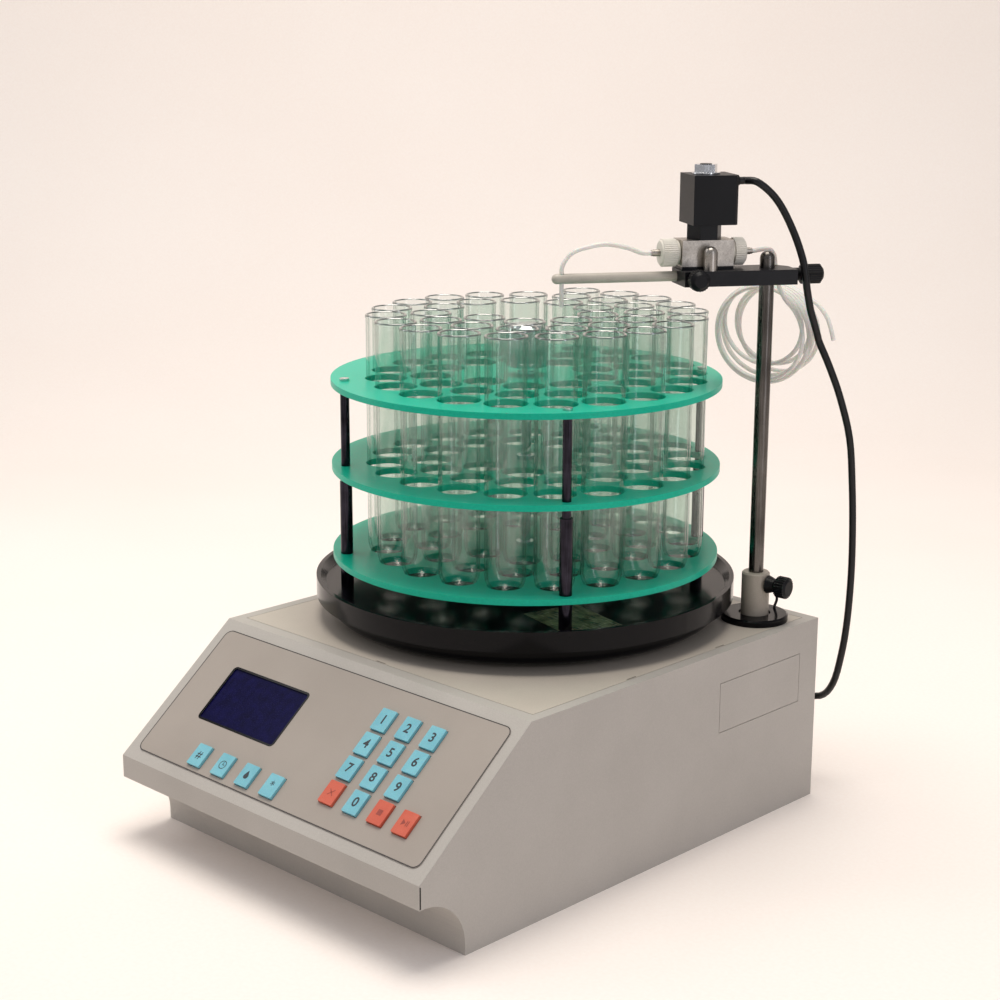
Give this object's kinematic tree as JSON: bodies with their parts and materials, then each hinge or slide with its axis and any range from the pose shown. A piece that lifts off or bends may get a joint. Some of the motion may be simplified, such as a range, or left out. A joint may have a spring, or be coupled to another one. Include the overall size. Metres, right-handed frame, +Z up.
{
  "type": "fraction collector",
  "caption": "Bench-top wedge base with keypad and display, a turntable rack of spirally placed test tubes on a dish, and a swinging dropper arm with a solenoid valve.",
  "frame": {"origin": "on the underside of the bottom plate, under the middle of the base's footprint", "axes": "+X to the right seen from the control panel, +Y to the rear, +Z up"},
  "size_m": [0.3307, 0.4306, 0.4615],
  "materials": {
    "painted_beige": "satin paint",
    "zinc_sheet": "satin",
    "panel_grey": "printed film, bare",
    "window_blue": "gloss",
    "circuit_board": "solder resist",
    "motor_metal": "satin",
    "bearing_bronze": "satin",
    "black_plastic": "matt",
    "black_gloss": "gloss",
    "red_plastic": "gloss",
    "gear_plastic": "acetal",
    "pinion_brass": "machined",
    "steel": "turned",
    "chrome": "polished",
    "green_plastic": "satin acrylic",
    "label_film": "film",
    "post_black": "blackened",
    "glass": "clear",
    "collar_beige": "satin",
    "bar_black": "black anodised",
    "hose": "translucent silicone",
    "ivory": "knurled",
    "cable_black": "matt",
    "key_blue": "satin",
    "key_red": "satin"
  },
  "bodies": {
    "base": {"housing": "painted_beige", "top_panel": "painted_beige", "bottom_plate": "zinc_sheet", "side_cover": "painted_beige", "control_label": "panel_grey", "display_window": "window_blue", "circuit_boards": "circuit_board", "drive_motors": "motor_metal", "bearing_housing": "bearing_bronze", "rear_connectors": "black_plastic", "column_flange": "black_plastic", "base_leads": "cable_black", "inlet_hose": "hose"},
    "rocker": {"power_rocker": "red_plastic"},
    "turntable": {"turntable_gear": "gear_plastic", "spindle": "steel", "dish": "black_gloss", "dish_label": "label_film"},
    "pinion": {"motor_pinion": "pinion_brass"},
    "rack": {"rack_bottom_disc": "green_plastic", "rack_middle_disc": "green_plastic", "rack_top_disc": "green_plastic", "rack_posts": "post_black", "rack_sleeves": "black_plastic", "rack_grip": "chrome", "test_tubes": "glass"},
    "loose_tube": {"front_tube": "glass"},
    "column": {"column_collar": "collar_beige", "column_rod": "steel", "valve_cable": "cable_black"},
    "collar_screw": {"collar_knob": "black_plastic"},
    "arm": {"clamp_bar": "bar_black", "clamp_pin": "steel", "valve_block": "steel", "valve_neck": "bar_black", "valve_coil": "black_plastic", "valve_nut": "chrome", "hose_nuts": "ivory"},
    "dropper": {"dropper_rod": "collar_beige", "outlet_hose": "hose"},
    "column_screw": {"end_knob": "black_plastic"},
    "rod_screw": {"ball_knob": "black_plastic"},
    "plunger": {"valve_plunger": "steel"},
    "key_1_cap": {"key_1": "key_blue"},
    "key_2_cap": {"key_2": "key_blue"},
    "key_3_cap": {"key_3": "key_blue"},
    "key_4_cap": {"key_4": "key_blue"},
    "key_5_cap": {"key_5": "key_blue"},
    "key_6_cap": {"key_6": "key_blue"},
    "key_7_cap": {"key_7": "key_blue"},
    "key_8_cap": {"key_8": "key_blue"},
    "key_9_cap": {"key_9": "key_blue"},
    "key_0_cap": {"key_0": "key_blue"},
    "key_clear_cap": {"key_clear": "key_red"},
    "key_stop_cap": {"key_stop": "key_red"},
    "key_start_cap": {"key_start": "key_red"},
    "key_hash_cap": {"key_hash": "key_blue"},
    "key_time_cap": {"key_time": "key_blue"},
    "key_drop_cap": {"key_drop": "key_blue"},
    "key_star_cap": {"key_star": "key_blue"}
  },
  "joints": [
    {"name": "turntable_spin", "type": "hinge", "parent": "base", "child": "turntable", "pos_m": [-0.0155, 0.0645, 0.15], "axis": [0, 0, 1], "continuous": true},
    {"name": "pinion_spin", "type": "hinge", "parent": "base", "child": "pinion", "pos_m": [-0.0606, 0.04808, 0.066], "axis": [0, 0, 1], "continuous": true},
    {"name": "rack_lift", "type": "slide", "parent": "turntable", "child": "rack", "axis": [0, 0, 1], "range_m": [0, 0.005]},
    {"name": "tube_lift", "type": "slide", "parent": "rack", "child": "loose_tube", "axis": [0, 0, 1], "range_m": [0, 0.14]},
    {"name": "column_swing", "type": "hinge", "parent": "base", "child": "column", "pos_m": [0.118, 0.165, 0.15], "axis": [0, 0, 1], "range_deg": [-10, 30], "deforming": ["base_leads", "inlet_hose"]},
    {"name": "collar_screw_turn", "type": "hinge", "parent": "column", "child": "collar_screw", "pos_m": [0.118, 0.165, 0.164], "axis": [0.9962, 0.0872, 0], "range_deg": [0, 360]},
    {"name": "arm_height", "type": "slide", "parent": "column", "child": "arm", "axis": [0, 0, 1], "range_m": [-0.003, 0.008], "deforming": ["valve_cable"]},
    {"name": "column_screw_turn", "type": "hinge", "parent": "arm", "child": "column_screw", "pos_m": [0.118, 0.165, 0.3852], "axis": [0.5476, 0.8368, 0], "range_deg": [0, 360]},
    {"name": "rod_screw_turn", "type": "hinge", "parent": "arm", "child": "rod_screw", "pos_m": [0.08734, 0.11814, 0.3852], "axis": [0.8368, -0.5476, 0], "range_deg": [0, 360]},
    {"name": "dropper_reach", "type": "slide", "parent": "arm", "child": "dropper", "axis": [-0.5476, -0.8368, 0], "range_m": [-0.006, 0.006]},
    {"name": "valve_stroke", "type": "slide", "parent": "arm", "child": "plunger", "axis": [0, 0, 1], "range_m": [0, 0.0015], "stiffness_N_per_m": 800, "springref_m": -0.001},
    {"name": "power_switch", "type": "hinge", "parent": "base", "child": "rocker", "pos_m": [-0.045, 0.199, 0.052], "axis": [1, 0, 0], "range_deg": [0, 16]},
    {"name": "key_1_press", "type": "slide", "parent": "base", "child": "key_1_cap", "axis": [0, 0.6306, -0.7761], "range_m": [0, 0.0012], "stiffness_N_per_m": 1500, "springref_m": -0.0003},
    {"name": "key_2_press", "type": "slide", "parent": "base", "child": "key_2_cap", "axis": [0, 0.6306, -0.7761], "range_m": [0, 0.0012], "stiffness_N_per_m": 1500, "springref_m": -0.0003},
    {"name": "key_3_press", "type": "slide", "parent": "base", "child": "key_3_cap", "axis": [0, 0.6306, -0.7761], "range_m": [0, 0.0012], "stiffness_N_per_m": 1500, "springref_m": -0.0003},
    {"name": "key_4_press", "type": "slide", "parent": "base", "child": "key_4_cap", "axis": [0, 0.6306, -0.7761], "range_m": [0, 0.0012], "stiffness_N_per_m": 1500, "springref_m": -0.0003},
    {"name": "key_5_press", "type": "slide", "parent": "base", "child": "key_5_cap", "axis": [0, 0.6306, -0.7761], "range_m": [0, 0.0012], "stiffness_N_per_m": 1500, "springref_m": -0.0003},
    {"name": "key_6_press", "type": "slide", "parent": "base", "child": "key_6_cap", "axis": [0, 0.6306, -0.7761], "range_m": [0, 0.0012], "stiffness_N_per_m": 1500, "springref_m": -0.0003},
    {"name": "key_7_press", "type": "slide", "parent": "base", "child": "key_7_cap", "axis": [0, 0.6306, -0.7761], "range_m": [0, 0.0012], "stiffness_N_per_m": 1500, "springref_m": -0.0003},
    {"name": "key_8_press", "type": "slide", "parent": "base", "child": "key_8_cap", "axis": [0, 0.6306, -0.7761], "range_m": [0, 0.0012], "stiffness_N_per_m": 1500, "springref_m": -0.0003},
    {"name": "key_9_press", "type": "slide", "parent": "base", "child": "key_9_cap", "axis": [0, 0.6306, -0.7761], "range_m": [0, 0.0012], "stiffness_N_per_m": 1500, "springref_m": -0.0003},
    {"name": "key_0_press", "type": "slide", "parent": "base", "child": "key_0_cap", "axis": [0, 0.6306, -0.7761], "range_m": [0, 0.0012], "stiffness_N_per_m": 1500, "springref_m": -0.0003},
    {"name": "key_clear_press", "type": "slide", "parent": "base", "child": "key_clear_cap", "axis": [0, 0.6306, -0.7761], "range_m": [0, 0.0012], "stiffness_N_per_m": 1500, "springref_m": -0.0003},
    {"name": "key_stop_press", "type": "slide", "parent": "base", "child": "key_stop_cap", "axis": [0, 0.6306, -0.7761], "range_m": [0, 0.0012], "stiffness_N_per_m": 1500, "springref_m": -0.0003},
    {"name": "key_start_press", "type": "slide", "parent": "base", "child": "key_start_cap", "axis": [0, 0.6306, -0.7761], "range_m": [0, 0.0012], "stiffness_N_per_m": 1500, "springref_m": -0.0003},
    {"name": "key_hash_press", "type": "slide", "parent": "base", "child": "key_hash_cap", "axis": [0, 0.6306, -0.7761], "range_m": [0, 0.0012], "stiffness_N_per_m": 1500, "springref_m": -0.0003},
    {"name": "key_time_press", "type": "slide", "parent": "base", "child": "key_time_cap", "axis": [0, 0.6306, -0.7761], "range_m": [0, 0.0012], "stiffness_N_per_m": 1500, "springref_m": -0.0003},
    {"name": "key_drop_press", "type": "slide", "parent": "base", "child": "key_drop_cap", "axis": [0, 0.6306, -0.7761], "range_m": [0, 0.0012], "stiffness_N_per_m": 1500, "springref_m": -0.0003},
    {"name": "key_star_press", "type": "slide", "parent": "base", "child": "key_star_cap", "axis": [0, 0.6306, -0.7761], "range_m": [0, 0.0012], "stiffness_N_per_m": 1500, "springref_m": -0.0003}
  ],
  "couplings": [
    {"joint": "pinion_spin", "follows": "turntable_spin", "ratio": -5}
  ]
}
